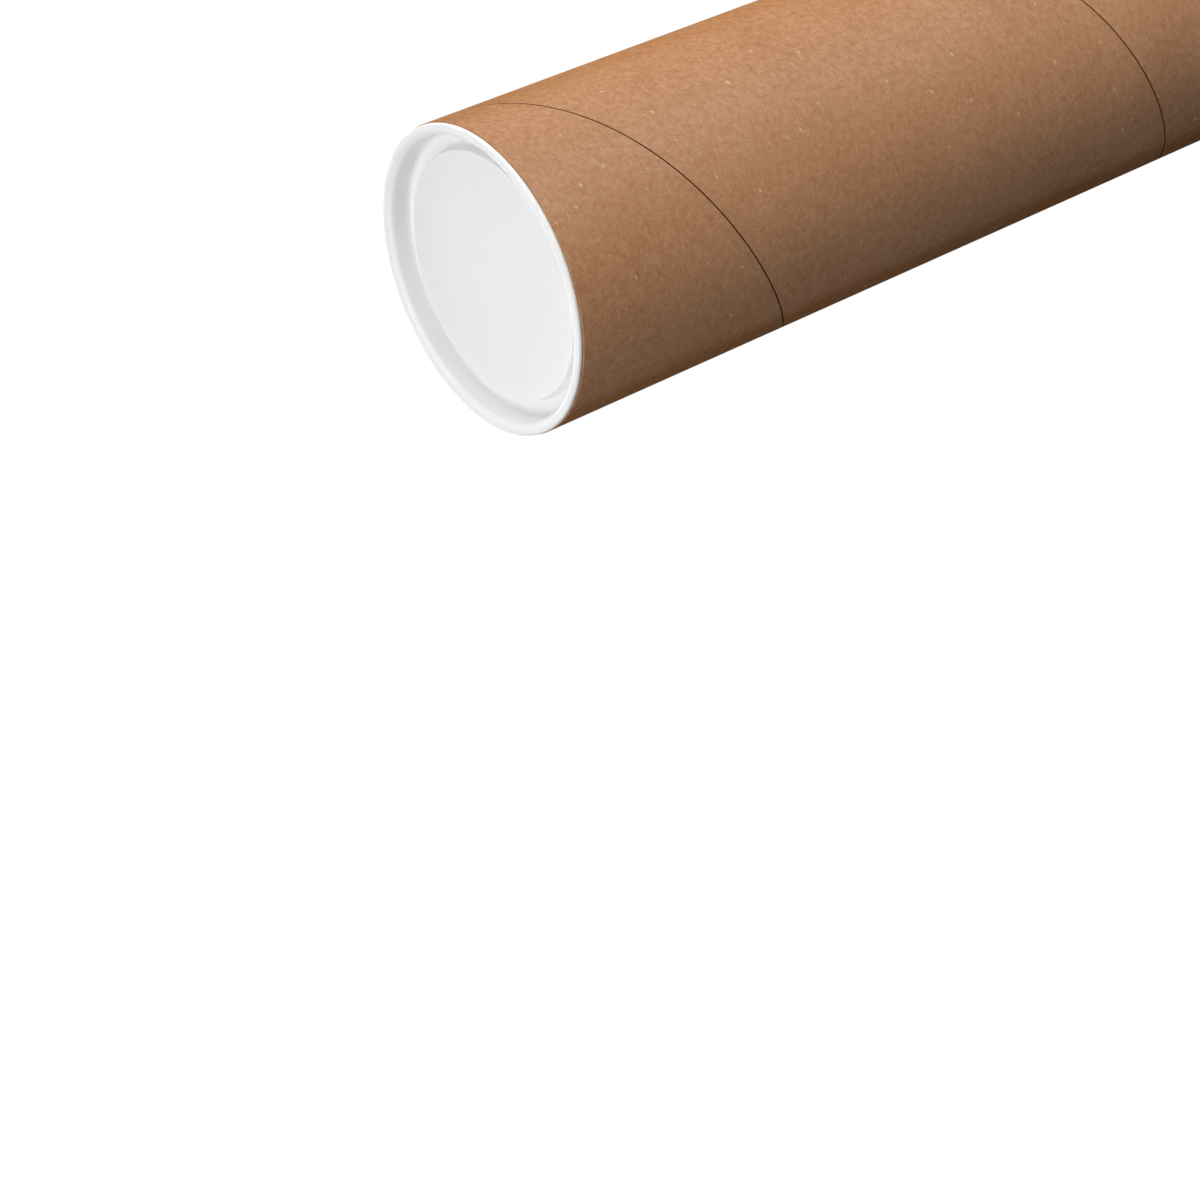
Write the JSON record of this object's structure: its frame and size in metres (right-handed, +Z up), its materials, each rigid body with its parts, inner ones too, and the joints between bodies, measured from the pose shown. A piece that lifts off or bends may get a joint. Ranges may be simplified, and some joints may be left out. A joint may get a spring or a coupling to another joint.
{
  "type": "cardboard mailing tube",
  "caption": "Spiral-wound kraft cardboard mailing tube with a push-in plastic plug cap closing each end.",
  "frame": {"origin": "centre of the bottom cap's rim, on the surface that the tube stands on", "axes": "+Z up the tube's axis, from the bottom cap to the top cap; X and Y across it, with the seam 9.7 mm below the top rim on the +X side"},
  "size_m": [0.08, 0.08, 0.6624],
  "materials": {
    "kraft_board": "matte",
    "white_plastic": "satin"
  },
  "bodies": {
    "tube": {"kraft_tube": "kraft_board"},
    "top_cap": {"top_cap": "white_plastic"},
    "bottom_cap": {"bottom_cap": "white_plastic"}
  },
  "joints": [
    {"name": "top_cap_pull", "type": "slide", "parent": "tube", "child": "top_cap", "axis": [0, 0, 1], "range_m": [0, 0.12]},
    {"name": "bottom_cap_pull", "type": "slide", "parent": "tube", "child": "bottom_cap", "axis": [0, 0, -1], "range_m": [0, 0.12]}
  ]
}
